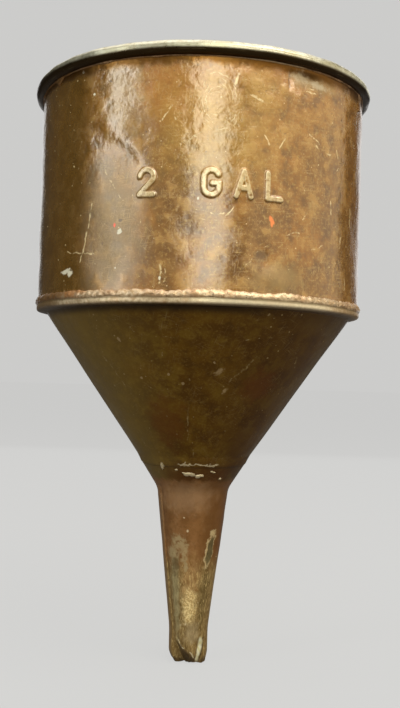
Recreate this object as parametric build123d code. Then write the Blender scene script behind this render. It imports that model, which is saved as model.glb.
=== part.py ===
"""Two-gallon copper filling funnel with a lift-out gauze strainer.

Units are millimetres. The funnel's axis is Z, with the mouth up and the spout down.
The origin is the centre of the spout's end, and the raised capacity mark faces -Y.
"""
from build123d import *
import math
import os

INCH = 25.4

# Overall sizes
OVERALL_HEIGHT = 16 * INCH
DRUM_RADIUS = 4.5 * INCH
SHEET = 0.9
SHOULDER_HEIGHT = 246.7
NECK_HEIGHT = 125.3
CONE_TOP_RADIUS = 108.0
NECK_RADIUS = 25.2
NOSE_RADIUS = 13.5
NOSE_LENGTH = 20.0
NOSE_BEND_RADIUS = 60.0
SPOUT_TOP_RADIUS = 24.6
FLARE_BEND_RADIUS = 24.0
FLANGE_BEND_RADIUS = 1.2
COLLAR_BEND_RADIUS = 1.4

# Rim: a brass tube rolled over a steel wire, with its top worn to a narrow flat
BEAD_RADIUS = 4.4
BEAD_WALL = 1.2
BEAD_OFFSET = 1.0
REST_FLAT_WIDTH = 2.0
WIRE_RADIUS = 3.15

# Joints between the sheets
COLLAR_HEIGHT = 5.0
FLANGE_DROP = 1.6
SOLDER_BAND_HEIGHT = 5.5
SOLDER_THICKNESS = 0.5
SOLDER_WIDTH = 3.0
FLARE_LENGTH = 15.5
SEAM_WIDTH = 5.0
DRUM_SEAM_HEIGHT = 0.8
LAP_SEAM_HEIGHT = 0.6
SPOUT_SEAM_WIDTH = 6.0
SPOUT_SEAM_AZIMUTH = 198.0
BACK_AZIMUTH = 90.0
FRONT_AZIMUTH = 270.0

# Raised capacity mark: slots round the drum, centred on the front
MARK_HEIGHT = 18.6
MARK_WIDTH = 12.6
MARK_STROKE = 3.4
MARK_RELIEF = 1.2
MARK_LEVEL = 320.2
MARK_PITCH = 10.05

# Lift-out strainer and the ledge that it sits on
LEDGE_HEIGHT = 190.0
LEDGE_THICKNESS = 1.2
LEDGE_HOLE_RADIUS = 61.0
STRAINER_RADIUS = 67.4
STRAINER_HOLE_RADIUS = 60.0
FRAME_THICKNESS = 1.5
GAUZE_THICKNESS = 0.6
GAUZE_INSET = 1.0
CROSS_BAR_WIDTH = 6.0
CENTRE_WASHER_RADIUS = 11.0
RIVET_COUNT = 8
RIVET_RADIUS = 1.5
RIVET_HEAD_RADIUS = 2.6
RIVET_HEAD_HEIGHT = 0.9
LOOP_WIRE_RADIUS = 1.6
LOOP_WIDTH = 16.0
LOOP_HEIGHT = 30.0
LOOP_FLARE = 5.0
LOOP_BEND_RADIUS = 4.0

# Worked out from the sizes above
DRUM_BORE = DRUM_RADIUS - SHEET
BEAD_CENTRE = DRUM_RADIUS + BEAD_OFFSET
SEAM_TOP = OVERALL_HEIGHT - 2 * BEAD_RADIUS - 1.5
FLAT_DEPTH = BEAD_RADIUS - math.sqrt(BEAD_RADIUS**2 - (REST_FLAT_WIDTH / 2) ** 2)
RIM_HEIGHT = OVERALL_HEIGHT - BEAD_RADIUS + FLAT_DEPTH
WALL_IN_BEAD = BEAD_CENTRE - DRUM_RADIUS + SHEET / 2
DRUM_TOP = RIM_HEIGHT - math.sqrt(WIRE_RADIUS**2 - WALL_IN_BEAD**2) - 0.3
DRUM_BOTTOM = SHOULDER_HEIGHT + 1.5
COLLAR_RADIUS = DRUM_RADIUS + SHEET
CONE_SLOPE = (CONE_TOP_RADIUS - NECK_RADIUS) / (SHOULDER_HEIGHT - FLANGE_DROP - NECK_HEIGHT)
SLANT = math.hypot(1, CONE_SLOPE)
GAUZE_LEVEL = LEDGE_HEIGHT + FRAME_THICKNESS
CLAMP_LEVEL = GAUZE_LEVEL + GAUZE_THICKNESS
STRAINER_TOP = CLAMP_LEVEL + FRAME_THICKNESS
LOOP_FOOT = LOOP_WIDTH / 2 - 2


def cone_radius(height, outset=0.0):
    """Radius of the cone's outer face at a height, moved outwards by outset."""
    return NECK_RADIUS + CONE_SLOPE * (height - NECK_HEIGHT) + outset * SLANT


def ring(points):
    """Solid of revolution about Z from (radius, height) corners."""
    return revolve(Plane.XZ * make_face(Polyline(*points, close=True)), Axis.Z)


def disc_ring(inner, outer, low, high):
    """Flat ring between two radii and two heights."""
    return ring([(inner, low), (outer, low), (outer, high), (inner, high)])


def sheet_ring(path, thickness=SHEET, side=Side.LEFT):
    """Solid of revolution of a sheet that has the path as one face: LEFT puts it inside the path."""
    return revolve(Plane.XZ * make_face(offset(path, amount=thickness, side=side)), Axis.Z)


def radial_slab(azimuth, width, low, high):
    """Upright slab that reaches outwards from the axis at an azimuth."""
    reach = 2 * DRUM_RADIUS
    slab = Pos(reach / 2, 0, (low + high) / 2) * Box(reach, width, high - low)
    return Rot(0, 0, azimuth) * slab


def cone_path():
    """Cone's outer face: up the slope, out along the flange and up the collar."""
    return FilletPolyline(
        (cone_radius(NECK_HEIGHT + 2), NECK_HEIGHT + 2),
        (CONE_TOP_RADIUS, SHOULDER_HEIGHT - FLANGE_DROP),
        (COLLAR_RADIUS, SHOULDER_HEIGHT),
        (COLLAR_RADIUS, SHOULDER_HEIGHT + COLLAR_HEIGHT),
        radius=[FLANGE_BEND_RADIUS, COLLAR_BEND_RADIUS],
    )


def spout_path():
    """Spout's outer face: parallel nose, long taper, then the flare over the cone.

    The taper's corner stands above the nose by its bend's tangent length, which leaves the
    nose parallel over its whole stated length.
    """
    flare_top = NECK_HEIGHT + FLARE_LENGTH
    taper_top = NECK_HEIGHT - 2
    rise = taper_top - NOSE_LENGTH
    run = NOSE_BEND_RADIUS - (SPOUT_TOP_RADIUS + SHEET - NOSE_RADIUS)
    turn = math.asin(NOSE_BEND_RADIUS / math.hypot(run, rise)) - math.atan2(run, rise)
    return FilletPolyline(
        (NOSE_RADIUS, 0),
        (NOSE_RADIUS, NOSE_LENGTH + NOSE_BEND_RADIUS * math.tan(turn / 2)),
        (SPOUT_TOP_RADIUS + SHEET, taper_top),
        (cone_radius(flare_top, SHEET), flare_top),
        radius=[NOSE_BEND_RADIUS, FLARE_BEND_RADIUS],
    )


def mark_strokes():
    """Stroke centre lines of the capacity mark, by slot, in a cell centred on zero."""
    w = (MARK_WIDTH - MARK_STROKE) / 2
    h = (MARK_HEIGHT - MARK_STROKE) / 2
    top = h - w
    bowl = CenterArc((0, top), w, -20, 190)
    return {
        -2: [bowl, Polyline(bowl @ 0, (-w, -h), (w, -h))],
        0: [
            CenterArc((0, top), w, 25, 155),
            Polyline((-w, top), (-w, -top)),
            CenterArc((0, -top), w, 180, 180),
            Polyline((w, -top), (w, -0.5), (0.8, -0.5)),
        ],
        1: [
            Polyline((-w, -h), (0, h), (w, -h)),
            Polyline((-w / 2, -h / 3), (w / 2, -h / 3)),
        ],
        2: [Polyline((-w, h), (-w, -h), (w, -h))],
    }


def mark_relief():
    """Raised strokes of the mark, each glyph pressed out along its own radius."""
    low = MARK_LEVEL - MARK_HEIGHT
    shell = disc_ring(DRUM_RADIUS - SHEET / 2, DRUM_RADIUS + MARK_RELIEF, low, low + 2 * MARK_HEIGHT)
    depth = 6.0
    glyphs = []
    for slot, lines in mark_strokes().items():
        azimuth = math.radians(FRONT_AZIMUTH + slot * MARK_PITCH)
        outward = Vector(math.cos(azimuth), math.sin(azimuth), 0)
        along = Vector(-math.sin(azimuth), math.cos(azimuth), 0)
        start = outward * (DRUM_RADIUS - depth) + Vector(0, 0, MARK_LEVEL)
        face = Plane(origin=start, x_dir=along, z_dir=outward)
        glyph = Sketch()
        for line in lines:
            for run in line.edges():
                glyph += trace(run, MARK_STROKE)
            for corner in line.vertices():
                glyph += Pos(corner.X, corner.Y) * Circle(MARK_STROKE / 2)
        glyphs.append(extrude(face * glyph, amount=2 * depth) & shell)
    return glyphs


def rim_wire():
    """Steel wire sealed inside the rim."""
    return Pos(0, 0, RIM_HEIGHT) * Torus(BEAD_CENTRE, WIRE_RADIUS)


def rim_bead():
    """Brass tube rolled over the wire, slit underneath for the drum's edge."""
    tube = Torus(BEAD_CENTRE, BEAD_RADIUS) - Torus(BEAD_CENTRE, BEAD_RADIUS - BEAD_WALL)
    tube = Pos(0, 0, RIM_HEIGHT) * tube
    worn = disc_ring(DRUM_BORE - 20, BEAD_CENTRE + 20, OVERALL_HEIGHT, OVERALL_HEIGHT + 5)
    slit = disc_ring(DRUM_BORE, DRUM_RADIUS, RIM_HEIGHT - BEAD_RADIUS - 1, RIM_HEIGHT - WIRE_RADIUS / 2)
    return tube - worn - slit


def rim_solder():
    """Solder run in under the bead, between it and the drum."""
    low = RIM_HEIGHT - BEAD_RADIUS
    fillet = ring([(DRUM_RADIUS, low - 0.9), (DRUM_RADIUS, low + 0.6), (BEAD_CENTRE, low + 0.6)])
    bead_section = Pos(0, 0, RIM_HEIGHT) * Torus(BEAD_CENTRE, BEAD_RADIUS)
    return fillet - bead_section


def drum_wall():
    """Rolled sheet with the locked side seam at the back and the mark at the front."""
    wall = disc_ring(DRUM_BORE, DRUM_RADIUS, DRUM_BOTTOM, DRUM_TOP)
    fold = disc_ring(
        DRUM_RADIUS - SHEET / 2,
        DRUM_RADIUS + DRUM_SEAM_HEIGHT,
        SHOULDER_HEIGHT + COLLAR_HEIGHT + SOLDER_BAND_HEIGHT + 1,
        SEAM_TOP,
    )
    wall += fold & radial_slab(BACK_AZIMUTH, SEAM_WIDTH, 0, OVERALL_HEIGHT)
    for glyph in mark_relief():
        wall += glyph
    return wall


def drum_seam_solder():
    """Solder run down the inside of the drum's side seam."""
    strip = disc_ring(DRUM_BORE - SOLDER_THICKNESS, DRUM_BORE, DRUM_BOTTOM + 8, SEAM_TOP)
    return strip & radial_slab(BACK_AZIMUTH, SOLDER_WIDTH, 0, OVERALL_HEIGHT)


def cone():
    """Cone with its flange and turned-up collar, and the lapped seam at the back."""
    lap_low = NECK_HEIGHT + FLARE_LENGTH + 6
    lap_high = SHOULDER_HEIGHT - FLANGE_DROP - 4
    lap = ring([
        (cone_radius(lap_low, -SHEET / 2), lap_low),
        (cone_radius(lap_low, LAP_SEAM_HEIGHT), lap_low),
        (cone_radius(lap_high, LAP_SEAM_HEIGHT), lap_high),
        (cone_radius(lap_high, -SHEET / 2), lap_high),
    ])
    return sheet_ring(cone_path()) + (lap & radial_slab(BACK_AZIMUTH, SEAM_WIDTH, 0, OVERALL_HEIGHT))


def cone_seam_solder():
    """Solder along the inside of the cone's lapped seam, above the strainer's ledge."""
    low = LEDGE_HEIGHT + 8
    high = SHOULDER_HEIGHT - FLANGE_DROP - 6
    strip = ring([
        (cone_radius(low, -SHEET - SOLDER_THICKNESS), low),
        (cone_radius(low, -SHEET), low),
        (cone_radius(high, -SHEET), high),
        (cone_radius(high, -SHEET - SOLDER_THICKNESS), high),
    ])
    return strip & radial_slab(BACK_AZIMUTH, SOLDER_WIDTH, 0, OVERALL_HEIGHT)


def shoulder_solder():
    """Band of solder over the collar's top edge, outside."""
    low = SHOULDER_HEIGHT + COLLAR_HEIGHT
    return ring([
        (DRUM_RADIUS, low),
        (COLLAR_RADIUS, low),
        (COLLAR_RADIUS - 0.1, low + 1.5),
        (DRUM_RADIUS + 0.25, low + SOLDER_BAND_HEIGHT),
        (DRUM_RADIUS, low + SOLDER_BAND_HEIGHT),
    ])


def inner_shoulder_solder(cone_sheet):
    """Fillet of solder between the drum's inside and the cone's flange."""
    fillet = ring([
        (DRUM_BORE, DRUM_BOTTOM + 4),
        (DRUM_BORE, SHOULDER_HEIGHT + 0.2),
        (DRUM_BORE - 4.5, SHOULDER_HEIGHT - 0.9),
    ])
    return fillet - cone_sheet


def spout():
    """Tapered spout with the flare that laps the cone and its own lapped seam."""
    lap_low = NOSE_LENGTH + 5
    lap_high = NECK_HEIGHT - 25
    shell = sheet_ring(spout_path())
    lap = sheet_ring(spout_path(), LAP_SEAM_HEIGHT, Side.RIGHT)
    return shell + (lap & radial_slab(SPOUT_SEAM_AZIMUTH, SPOUT_SEAM_WIDTH, lap_low, lap_high))


def neck_solder(cone_sheet, spout_sheet):
    """Solder over the top edge of the spout's flare, on the cone."""
    low = NECK_HEIGHT + FLARE_LENGTH
    band = ring([
        (cone_radius(low, -SHEET / 2), low),
        (cone_radius(low, SHEET), low),
        (cone_radius(low + 1.5, SHEET - 0.2), low + 1.5),
        (cone_radius(low + 4, 0.15), low + 4),
        (cone_radius(low + 4, -SHEET / 2), low + 4),
    ])
    return band - cone_sheet - spout_sheet


def inner_neck_solder(cone_sheet, spout_sheet):
    """Solder that fills the corner inside, under the cone's lower edge."""
    top = NECK_HEIGHT + 2.5
    fillet = ring([
        (cone_radius(top, -SHEET), top),
        (cone_radius(top, SHEET / 2), top),
        (SPOUT_TOP_RADIUS + SHEET / 2, NECK_HEIGHT - 4),
    ])
    return fillet - cone_sheet - spout_sheet


def strainer_ledge(cone_sheet):
    """Angle ring soldered inside the cone, on which the strainer rests."""
    low = LEDGE_HEIGHT - LEDGE_THICKNESS
    foot = LEDGE_HEIGHT - 7
    inside = -SHEET
    section = [
        (LEDGE_HOLE_RADIUS, low),
        (LEDGE_HOLE_RADIUS, LEDGE_HEIGHT),
        (cone_radius(LEDGE_HEIGHT, inside), LEDGE_HEIGHT),
        (cone_radius(foot, inside), foot),
        (cone_radius(foot, inside - 1.0), foot),
        (cone_radius(low, inside - 1.0), low),
    ]
    return ring(section) - cone_sheet


def rivet_places(radius):
    """Places of the rivets round the strainer, between the cross bars."""
    step = 360 / RIVET_COUNT
    return [Rot(0, 0, (n + 0.5) * step) * Pos(radius, 0, 0) for n in range(RIVET_COUNT)]


def rivet_radius():
    """Radius of the circle that the rivets stand on."""
    return (STRAINER_RADIUS + STRAINER_HOLE_RADIUS) / 2


def drill_rivets(piece):
    """Cut the rivets' holes through a ring of the strainer."""
    for place in rivet_places(rivet_radius()):
        piece -= place * Pos(0, 0, LEDGE_HEIGHT + 2) * Cylinder(RIVET_RADIUS, 12)
    return piece


def loop_legs(radius, low, high):
    """Two upright legs at the loop's feet."""
    leg = Pos(0, 0, (low + high) / 2) * Cylinder(radius, high - low)
    return [Pos(-LOOP_FOOT, 0, 0) * leg, Pos(LOOP_FOOT, 0, 0) * leg]


def strainer_frame():
    """Lower ring of the strainer."""
    return drill_rivets(disc_ring(STRAINER_HOLE_RADIUS, STRAINER_RADIUS, LEDGE_HEIGHT, GAUZE_LEVEL))


def strainer_gauze():
    """Gauze disc held between the two rings."""
    gauze = disc_ring(0, STRAINER_RADIUS - GAUZE_INSET, GAUZE_LEVEL, CLAMP_LEVEL)
    for leg in loop_legs(LOOP_WIRE_RADIUS, GAUZE_LEVEL - 5, CLAMP_LEVEL + 5):
        gauze -= leg
    return drill_rivets(gauze)


def strainer_clamp_ring():
    """Upper ring of the strainer."""
    return drill_rivets(disc_ring(STRAINER_HOLE_RADIUS, STRAINER_RADIUS, CLAMP_LEVEL, STRAINER_TOP))


def strainer_cross_bars():
    """Two crossed bars that stiffen the gauze from below."""
    length = 2 * STRAINER_HOLE_RADIUS + 2
    bar = Pos(0, 0, (LEDGE_HEIGHT + GAUZE_LEVEL) / 2) * Box(length, CROSS_BAR_WIDTH, FRAME_THICKNESS)
    bars = bar + Rot(0, 0, 90) * bar
    bars = bars & disc_ring(0, STRAINER_HOLE_RADIUS, LEDGE_HEIGHT, GAUZE_LEVEL)
    for leg in loop_legs(LOOP_WIRE_RADIUS, LEDGE_HEIGHT - 5, CLAMP_LEVEL + 5):
        bars -= leg
    return bars


def strainer_washer():
    """Washer that spreads the loop's pull over the gauze."""
    washer = disc_ring(0, CENTRE_WASHER_RADIUS, CLAMP_LEVEL, STRAINER_TOP)
    for leg in loop_legs(LOOP_WIRE_RADIUS, CLAMP_LEVEL - 5, STRAINER_TOP + 5):
        washer -= leg
    return washer


def strainer_loop():
    """Lifting loop of bent wire, its legs passed through the washer and the bars."""
    top = CLAMP_LEVEL + LOOP_HEIGHT
    waist = STRAINER_TOP + 4
    shoulder = top - 8
    wide = LOOP_FOOT + LOOP_FLARE
    narrow = LOOP_FOOT - 1
    bow = FilletPolyline(
        (-LOOP_FOOT, LEDGE_HEIGHT), (-LOOP_FOOT, waist), (-wide, shoulder), (-narrow, top),
        (narrow, top), (wide, shoulder), (LOOP_FOOT, waist), (LOOP_FOOT, LEDGE_HEIGHT),
        radius=LOOP_BEND_RADIUS,
    )
    path = Plane.XZ * bow
    section = Plane(origin=(-LOOP_FOOT, 0, LEDGE_HEIGHT), z_dir=(0, 0, 1)) * Circle(LOOP_WIRE_RADIUS)
    return sweep(section, path=path)


def strainer_rivets():
    """Rivets through both rings, as a group of separate solids."""
    rivets = []
    height = STRAINER_TOP - LEDGE_HEIGHT
    shank = Pos(0, 0, LEDGE_HEIGHT + height / 2) * Cylinder(RIVET_RADIUS, height)
    head = Cone(RIVET_HEAD_RADIUS, RIVET_RADIUS, RIVET_HEAD_HEIGHT)
    head = Pos(0, 0, STRAINER_TOP + RIVET_HEAD_HEIGHT / 2) * head
    for place in rivet_places(rivet_radius()):
        rivets.append(place * (shank + head))
    return Compound(children=rivets)


def write(name, shape):
    """Write one sub-part to its own STEP file."""
    export_step(shape, f"parts/{name}.step")


def main():
    os.makedirs("parts", exist_ok=True)
    cone_sheet = cone()
    spout_sheet = spout()
    write("drum_wall", drum_wall())
    write("drum_seam_solder", drum_seam_solder())
    write("rim_wire", rim_wire())
    write("rim_bead", rim_bead())
    write("rim_solder", rim_solder())
    write("cone", cone_sheet)
    write("cone_seam_solder", cone_seam_solder())
    write("shoulder_solder", shoulder_solder())
    write("inner_shoulder_solder", inner_shoulder_solder(cone_sheet))
    write("spout", spout_sheet)
    write("neck_solder", neck_solder(cone_sheet, spout_sheet))
    write("inner_neck_solder", inner_neck_solder(cone_sheet, spout_sheet))
    write("strainer_ledge", strainer_ledge(cone_sheet))
    write("strainer_frame", strainer_frame())
    write("strainer_gauze", strainer_gauze())
    write("strainer_clamp_ring", strainer_clamp_ring())
    write("strainer_cross_bars", strainer_cross_bars())
    write("strainer_washer", strainer_washer())
    write("strainer_loop", strainer_loop())
    write("strainer_rivets", strainer_rivets())


main()
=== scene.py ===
import math
import bpy
import numpy as np
from mathutils import Matrix, Vector

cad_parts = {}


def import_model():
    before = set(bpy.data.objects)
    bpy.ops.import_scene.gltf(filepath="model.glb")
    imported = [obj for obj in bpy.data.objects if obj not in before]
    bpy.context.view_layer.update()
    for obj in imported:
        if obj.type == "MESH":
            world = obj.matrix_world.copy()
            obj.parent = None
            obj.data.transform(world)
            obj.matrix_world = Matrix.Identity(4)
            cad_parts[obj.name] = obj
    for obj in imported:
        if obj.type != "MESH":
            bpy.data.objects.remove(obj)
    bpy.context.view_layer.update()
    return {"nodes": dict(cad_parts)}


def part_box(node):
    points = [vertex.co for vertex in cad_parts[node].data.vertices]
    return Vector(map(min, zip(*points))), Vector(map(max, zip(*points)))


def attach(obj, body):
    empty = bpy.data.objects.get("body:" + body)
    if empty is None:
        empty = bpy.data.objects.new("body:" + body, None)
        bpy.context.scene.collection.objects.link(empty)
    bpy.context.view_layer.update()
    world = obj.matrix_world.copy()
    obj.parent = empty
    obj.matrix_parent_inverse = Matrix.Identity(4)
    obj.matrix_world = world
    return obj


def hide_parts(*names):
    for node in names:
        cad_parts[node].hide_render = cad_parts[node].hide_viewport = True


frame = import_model()

# Shapes are worked out in millimetres and turned into metres when a mesh is made. Azimuths go round +Z
# from the front (-Y) towards +X. They are in radians in materials and in what shapes a surface, and in
# degrees where the columns of a ring, a drop of solder, a light or the camera are placed. Places on an
# unrolled sheet are (arc, height), with the arc counted from the front.
MM = 0.001

# Order of a quad's corners that makes it face the other way
FACING_BACK = [0, 3, 2, 1]


def node_size(node):
    """Lowest and highest corner of a CAD node, in millimetres."""
    low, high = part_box(node)
    return np.array(low) / MM, np.array(high) / MM


# Sizes that come from the frame
DRUM_FOOT = node_size("drum_wall")[0][2]
DRUM_TOP = node_size("drum_wall")[1][2]
DRUM_R = node_size("drum_wall")[1][0]
RIM_OUTER = node_size("rim_bead")[1][0]
RIM_TOP = node_size("rim_bead")[1][2]
BEAD_FOOT = node_size("rim_bead")[0][2]
COLLAR_R = node_size("cone")[1][0]
COLLAR_TOP = node_size("cone")[1][2]
CONE_FOOT = node_size("cone")[0][2]
FLARE_R = node_size("spout")[1][0]
FLARE_TOP = node_size("spout")[1][2]
GAUZE_LOW, GAUZE_HIGH = node_size("strainer_gauze")
RIVET_FOOT = node_size("strainer_rivets")[0][2]
CLAMP_TOP = node_size("strainer_clamp_ring")[1][2]
RING_OUTER = node_size("strainer_clamp_ring")[1][0]

# Sizes shared with the part
SHEET = 0.9
BEAD_R = 4.4
BEAD_CENTRE = RIM_OUTER - BEAD_R
BEAD_HEIGHT = BEAD_FOOT + BEAD_R
WIRE_R = 3.15
SHOULDER = COLLAR_TOP - 5.0
FLANGE_DROP = 1.6
CONE_TOP_R = 108.0
NECK_R = 25.2
NECK_HEIGHT = CONE_FOOT - 2.0
CONE_SLOPE = (CONE_TOP_R - NECK_R) / (SHOULDER - FLANGE_DROP - NECK_HEIGHT)
NOSE_R = 13.5
NOSE_CORNER = 23.7
SPOUT_TOP_R = 25.5
MARK_HEIGHT = 18.6
MARK_WIDTH = 12.6
MARK_STROKE = 3.4
MARK_RELIEF = 1.2
MARK_LEVEL = 320.2
MARK_PITCH = 10.05
RIVET_COUNT = 8
RING_BORE = 60.0

# The seams: where the edge of a doubled strip at the back starts and ends, from its middle, and the
# spout's lap, as its azimuth and half its width
SEAM_EDGE = (2.9, 2.3)
SPOUT_SEAM = -72.0
SPOUT_LAP = 3.0

# The solder runs: the band over the collar, and the run over the top of the spout's flare
SOLDER_FOOT = COLLAR_TOP - 1.4
SOLDER_RISE = 4.6
NECK_SOLDER_FOOT = FLARE_TOP - 1.2
NECK_SOLDER_RISE = 7.0

# The camera and the lights are turned round the axis by this much from the mark's centre
CAMERA_AZIMUTH = -3.3

# The camera before that turn: its place, the way it looks, its upward side, its lens and its film's width
EYE = (2.59, -675.4, 199.8)
EYE_AHEAD = (0, 0.99958, 0.02895)
EYE_UP = (-0.02753, -0.02894, 0.9992)
LENS = 47.44
FILM = 36

# Height that the lights face, in metres
LIGHT_AIM = 0.32


# ---------------------------------------------------------------- meshes

def mesh_piece(name, points, faces, sharp=40.0):
    """Object from points in millimetres and faces, smooth except at edges sharper than the angle."""
    mesh = bpy.data.meshes.new(name)
    mesh.from_pydata((np.asarray(points) * MM).tolist(), [], [list(map(int, f)) for f in faces])
    mesh.validate()
    mesh.shade_smooth()
    mesh.set_sharp_from_angle(angle=math.radians(sharp))
    piece = bpy.data.objects.new(name, mesh)
    bpy.context.scene.collection.objects.link(piece)
    return piece


def turned(section, azimuths, shape=None):
    """Points and faces of a closed ring: section holds (radius, height, side) going up the outside
    (side 1) and down the inside (side 0), and shape(azimuth, radius, height, side) dents it."""
    section = np.asarray(section, float)
    a = np.radians(np.asarray(azimuths, float))[:, None]
    r, z, side = (np.broadcast_to(section[None, :, i], (len(a), len(section))) for i in range(3))
    if shape:
        r, z = shape(np.broadcast_to(a, r.shape), r, z, side)
    points = np.stack([r * np.sin(a), -r * np.cos(a), z], axis=-1).reshape(-1, 3)
    return points, grid_faces(*r.shape, closed=True)


def grid_faces(rows, columns, closed=False):
    """Quads between rows of points. Each row closes up, and the last row meets the first if closed."""
    i, j = np.meshgrid(np.arange(rows if closed else rows - 1), np.arange(columns), indexing="ij")
    i2, j2 = (i + 1) % rows, (j + 1) % columns
    corners = (i * columns + j, i2 * columns + j, i2 * columns + j2, i * columns + j2)
    return np.stack(corners, axis=-1).reshape(-1, 4)


def joined(parts):
    """One set of points and faces from several."""
    points, faces, start = [], [], 0
    for p, f in parts:
        points.append(np.asarray(p, float))
        faces += [[int(v) + start for v in face] for face in f]
        start += len(p)
    return np.concatenate(points), faces


def stations(*spans):
    """Rising values from (start, stop, step) spans laid end to end."""
    return np.concatenate([np.arange(a, b - step / 2, step) for a, b, step in spans])


def rounded(points, radii, turns):
    """Path through the points with its inner corners rounded to the radii."""
    points = [np.array(p, float) for p in points]
    path = [points[0]]
    for before, corner, after, radius in zip(points, points[1:], points[2:], radii):
        back = (before - corner) / np.linalg.norm(before - corner)
        ahead = (after - corner) / np.linalg.norm(after - corner)
        half = math.acos(np.clip(back @ ahead, -1, 1)) / 2
        middle = (back + ahead) / np.linalg.norm(back + ahead)
        centre = corner + middle * radius / math.sin(half)
        first = corner + back * radius / math.tan(half) - centre
        last = corner + ahead * radius / math.tan(half) - centre
        turn = math.pi - 2 * half
        for t in np.linspace(0, 1, turns + 1):
            spoke = (math.sin((1 - t) * turn) * first + math.sin(t * turn) * last) / math.sin(turn)
            path.append(centre + spoke)
    path.append(points[-1])
    return path


def filled(path, step):
    """The path with points added so that none are further apart than the step."""
    out = [path[0]]
    for a, b in zip(path, path[1:]):
        count = max(1, math.ceil(np.linalg.norm(b - a) / step))
        out += [a + (b - a) * k / count for k in range(1, count + 1)]
    return np.array(out)


def sheet_section(path):
    """Closed section of a sheet whose outer face is the path, which goes upwards."""
    path = np.asarray(path, float)
    run = np.gradient(path, axis=0)
    run /= np.linalg.norm(run, axis=1)[:, None]
    inner = path - np.stack([run[:, 1], -run[:, 0]], axis=1) * SHEET
    outer = np.column_stack([path, np.ones(len(path))])
    inner = np.column_stack([inner, np.zeros(len(path))])
    return np.concatenate([outer, inner[::-1]])


def smooth(value, low, high):
    """Smooth step from 0 at low to 1 at high."""
    t = np.clip((value - low) / (high - low), 0, 1)
    return t * t * (3 - 2 * t)


def ripple(azimuth, height, seed, turns, rise, count=14):
    """Smooth unevenness between about -1 and 1, as waves up to a number of turns round the axis
    and up to one wave per rise millimetres of height."""
    random = np.random.default_rng(seed)
    total = np.zeros(np.broadcast(azimuth, height).shape)
    for _ in range(count):
        around = random.integers(1, turns + 1)
        up = random.uniform(-1, 1) * 2 * math.pi / rise
        total = total + np.sin(around * azimuth + up * height + random.uniform(0, 2 * math.pi))
    return total / math.sqrt(2 * count)


def dent(arc, height, centre, size, turn=0.0):
    """1 at the middle of a soft elliptical dent on the unrolled sheet, falling to 0 round it."""
    c, s = math.cos(math.radians(turn)), math.sin(math.radians(turn))
    u, v = arc - centre[0], height - centre[1]
    return np.exp(-(((u * c + v * s) / size[0]) ** 2) - ((v * c - u * s) / size[1]) ** 2)


def dents(arc, height, places):
    """How deep several dents push the sheet in; each is (depth, centre, size, turn)."""
    return sum(depth * dent(arc, height, *place) for depth, *place in places)


def segment_distance(u, v, start, end):
    """Distance from (u, v) to a straight run."""
    du, dv = end[0] - start[0], end[1] - start[1]
    t = np.clip(((u - start[0]) * du + (v - start[1]) * dv) / (du * du + dv * dv), 0, 1)
    return np.hypot(u - start[0] - t * du, v - start[1] - t * dv)


def crease(arc, height, start, end, width):
    """1 along a sharp fold between two places, falling off beside it."""
    return np.exp(-segment_distance(arc, height, start, end) / width)


def cone_radius(height, outset=0.0):
    """Radius of the cone's outer face at a height, moved outwards by outset."""
    return NECK_R + CONE_SLOPE * (height - NECK_HEIGHT) + outset * math.hypot(1, CONE_SLOPE)


# ---------------------------------------------------------------- drum and rim

def arc_points(centre, radius, start, span):
    """Points along an arc, angles in degrees."""
    count = 14
    angles = np.radians(np.linspace(start, start + span, count))
    return [(centre[0] + radius * math.cos(t), centre[1] + radius * math.sin(t)) for t in angles]


def mark_lines():
    """Stroke centre lines of the capacity mark, by slot, in a cell centred on zero."""
    w = (MARK_WIDTH - MARK_STROKE) / 2
    h = (MARK_HEIGHT - MARK_STROKE) / 2
    top = h - w
    return {
        -2: [arc_points((0, top), w, 170, -190) + [(-w, -h), (w, -h)]],
        0: [arc_points((0, top), w, 25, 155) + arc_points((0, -top), w, 180, 180) + [(w, -0.5), (0.8, -0.5)]],
        1: [[(-w, -h), (0, h), (w, -h)], [(-w / 2, -h / 3), (w / 2, -h / 3)]],
        2: [[(-w, h), (-w, -h), (w, -h)]],
    }


def mark_relief(arc, height):
    """How far the raised strokes stand out, as a share of the full relief."""
    far, reach = 99.0, 60.0
    nearest = np.full(arc.shape, far)
    near = (np.abs(arc) < reach) & (np.abs(height - MARK_LEVEL) < MARK_HEIGHT)
    u, v = arc[near], height[near] - MARK_LEVEL
    found = nearest[near]
    for slot, lines in mark_lines().items():
        middle = slot * math.radians(MARK_PITCH) * DRUM_R
        for line in lines:
            for a, b in zip(line, line[1:]):
                found = np.minimum(found, segment_distance(u - middle, v, a, b))
    nearest[near] = found
    return smooth(nearest, MARK_STROKE / 2 + 0.55, MARK_STROKE / 2 - 0.45)


def droop(azimuth):
    """How far the rim has sagged, which is most on the left."""
    depth, middle, width = 3.0, -92, 30
    sag = depth * np.exp(-((np.degrees(azimuth) - middle) / width) ** 2)
    return 0.5 * ripple(azimuth, 0, 3, 4, 400) - sag


def back_fade(azimuth):
    """0 along the seams at the back, 1 elsewhere."""
    return smooth(math.pi - np.abs(azimuth), 0.06, 0.16)


def back_seam(azimuth, radius):
    """1 where the sheet is doubled at a seam at the back, 0 elsewhere."""
    return smooth((math.pi - np.abs(azimuth)) * radius, *SEAM_EDGE)


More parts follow.
